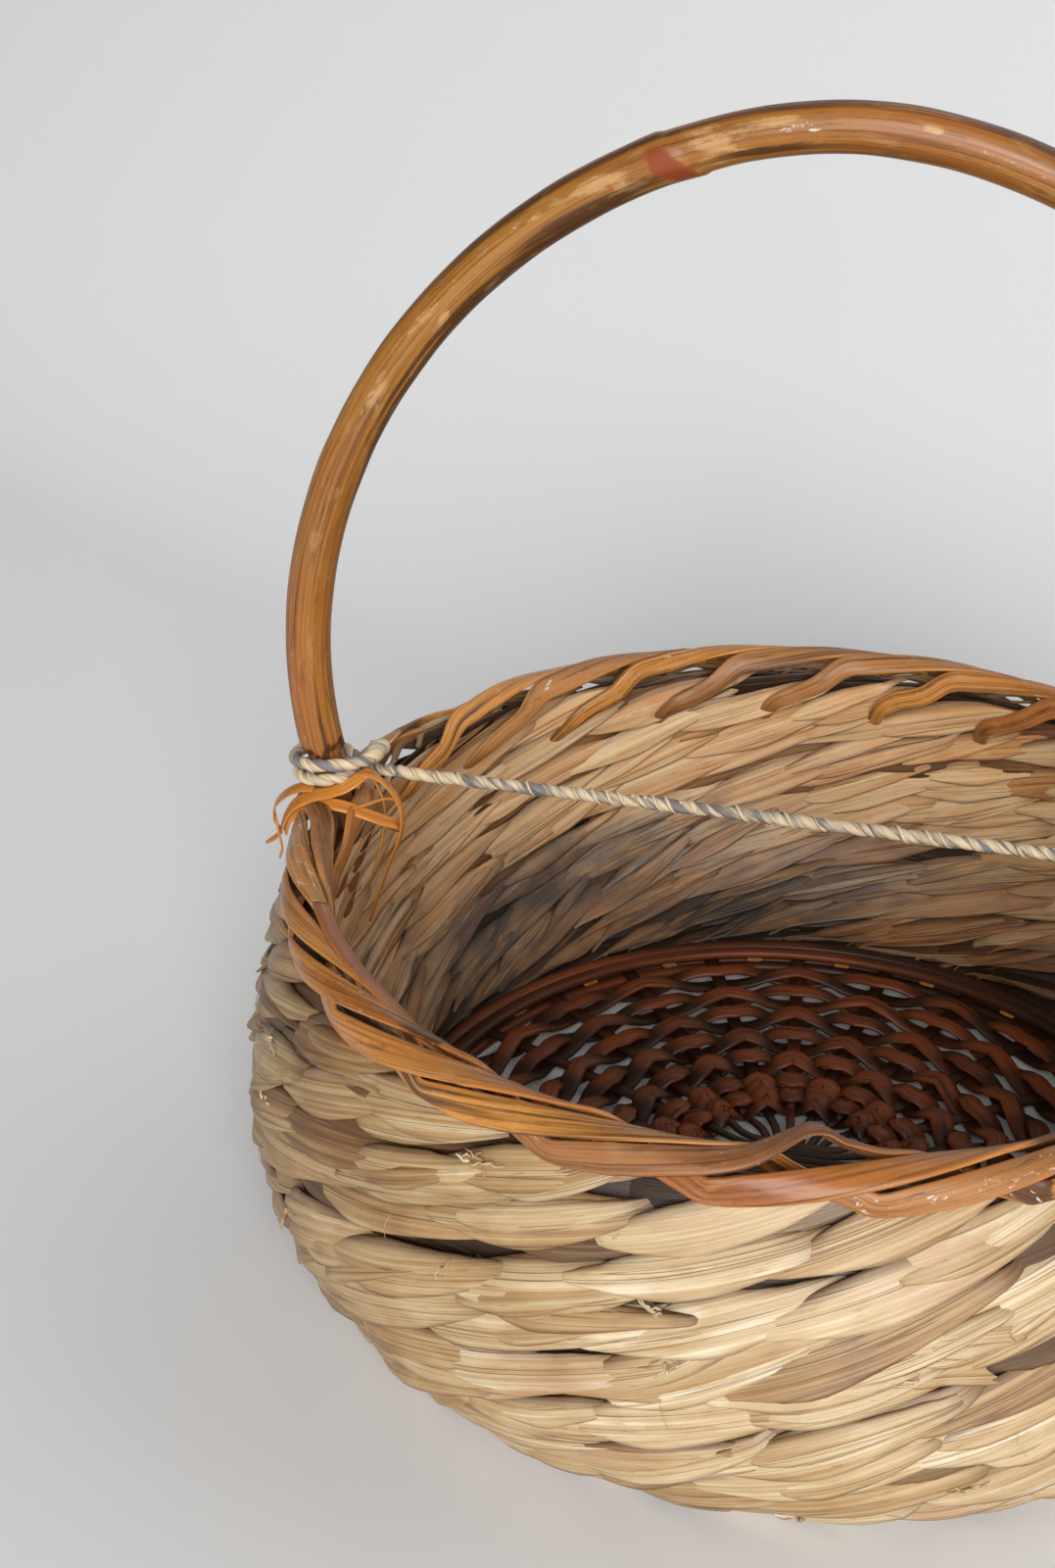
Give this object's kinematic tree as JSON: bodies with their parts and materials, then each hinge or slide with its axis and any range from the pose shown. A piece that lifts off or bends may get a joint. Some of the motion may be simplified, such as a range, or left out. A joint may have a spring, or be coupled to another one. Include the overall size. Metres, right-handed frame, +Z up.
{
  "type": "hand basket",
  "caption": "Round woven hand basket with an open cane base, a twined leaf wall, a rolled cane border, a fixed hoop handle and a cord tied across it.",
  "frame": {"origin": "centre of the overall box at floor level, under the middle of the basket", "axes": "+Z up, the hoop handle stands in the XZ plane, and the camera of the picture looked from -Y, a little from +X"},
  "size_m": [0.366, 0.3642, 0.3657],
  "materials": {
    "handle_cane": "varnished",
    "border_cane": "varnished, scuffed",
    "base_cane": "satin",
    "dried_leaf": "dry, creased",
    "leaf_cord": "twisted",
    "split_cane": "glossy skin"
  },
  "bodies": {
    "root": {"foot_hoop": "base_cane", "base_edge_hoop": "base_cane", "base_stick_1": "base_cane", "base_stick_2": "base_cane", "base_stick_3": "base_cane", "base_stick_4": "base_cane", "base_stick_5": "base_cane", "base_stick_6": "base_cane", "base_stick_7": "base_cane", "base_stick_8": "base_cane", "base_stick_9": "base_cane", "base_stick_10": "base_cane", "base_stick_11": "base_cane", "base_stick_12": "base_cane", "base_weaver_1": "base_cane", "base_weaver_2": "base_cane", "base_weaver_3": "base_cane", "base_weaver_4": "base_cane", "base_weaver_5": "base_cane", "base_weaver_6": "base_cane", "stake_01": "border_cane", "stake_02": "border_cane", "stake_03": "border_cane", "stake_04": "border_cane", "stake_05": "border_cane", "stake_06": "border_cane", "stake_07": "border_cane", "stake_08": "border_cane", "stake_09": "border_cane", "stake_10": "border_cane", "stake_11": "border_cane", "stake_13": "border_cane", "stake_14": "border_cane", "stake_15": "border_cane", "stake_16": "border_cane", "stake_17": "border_cane", "stake_18": "border_cane", "stake_19": "border_cane", "stake_20": "border_cane", "stake_21": "border_cane", "stake_22": "border_cane", "stake_23": "border_cane", "wall_row_1": "dried_leaf", "wall_row_2": "dried_leaf", "wall_row_3": "dried_leaf", "wall_row_4": "dried_leaf", "wall_row_5": "dried_leaf", "wall_row_6": "dried_leaf", "wall_row_7": "dried_leaf", "wall_row_8": "dried_leaf", "wall_row_9": "dried_leaf", "handle_bow": "handle_cane", "tie_cord": "leaf_cord", "lashing_right": "split_cane", "lashing_left": "split_cane"}
  },
  "joints": []
}
